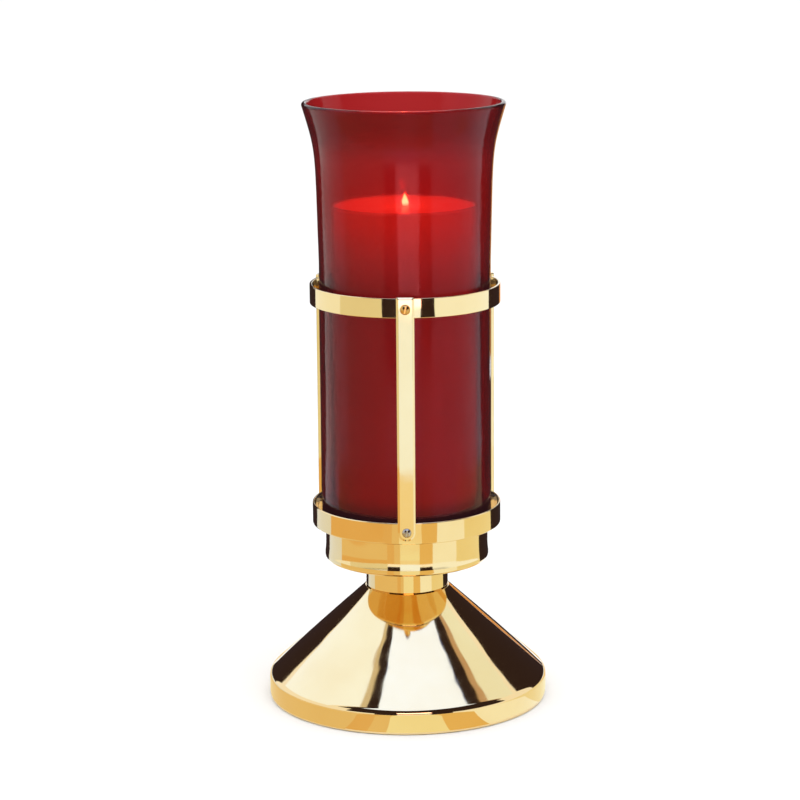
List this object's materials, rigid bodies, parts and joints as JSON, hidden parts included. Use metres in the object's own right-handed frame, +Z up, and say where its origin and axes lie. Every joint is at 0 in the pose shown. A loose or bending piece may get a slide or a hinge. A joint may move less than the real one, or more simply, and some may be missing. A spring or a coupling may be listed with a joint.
{
  "type": "sanctuary lamp",
  "caption": "Table sanctuary lamp: cone base of polished brass, cup on a short neck, three-bar cage and ring round a flared ruby glass globe that holds a long-burning candle.",
  "frame": {"origin": "centre of the felt's underside, on the surface that the lamp stands on", "axes": "+Z up along the lamp's axis, -Y towards the front upright, +X to the right seen from the front"},
  "size_m": [0.1778, 0.1778, 0.3809],
  "materials": {
    "brass": "mirror polished, lacquered",
    "steel": "bright plated",
    "iron": "rough cast, blackened",
    "felt": "pressed wool felt",
    "ruby_glass": "clear, coloured through, fire polished",
    "container": "thin translucent plastic",
    "wax": "smooth wax, wet round the wick",
    "wick": "braided cotton, charred tip"
  },
  "bodies": {
    "stand": {"base_felt": "felt", "base_weight": "iron", "base_shell": "brass", "neck_collar": "brass", "holder_cup": "brass", "centre_rod": "steel", "base_washer": "steel", "base_nut": "steel", "cup_washer": "steel", "cup_nut": "steel", "globe_ring": "brass", "upright_front": "brass", "upright_right": "brass", "upright_left": "brass", "top_screw_front": "brass", "top_screw_right": "brass", "top_screw_left": "brass", "top_nut_front": "brass", "top_nut_right": "brass", "top_nut_left": "brass", "foot_screw_front": "steel", "foot_screw_right": "steel", "foot_screw_left": "steel", "foot_nut_front": "steel", "foot_nut_right": "steel", "foot_nut_left": "steel"},
    "globe": {"ruby_globe": "ruby_glass"},
    "candle": {"candle_container": "container", "candle_wax": "wax", "wick_clip": "steel", "candle_wick": "wick"}
  },
  "joints": [
    {"name": "globe_lift", "type": "slide", "parent": "stand", "child": "globe", "axis": [0, 0, 1], "range_m": [0, 0.16]},
    {"name": "candle_lift", "type": "slide", "parent": "globe", "child": "candle", "axis": [0, 0, 1], "range_m": [0, 0.265]}
  ]
}
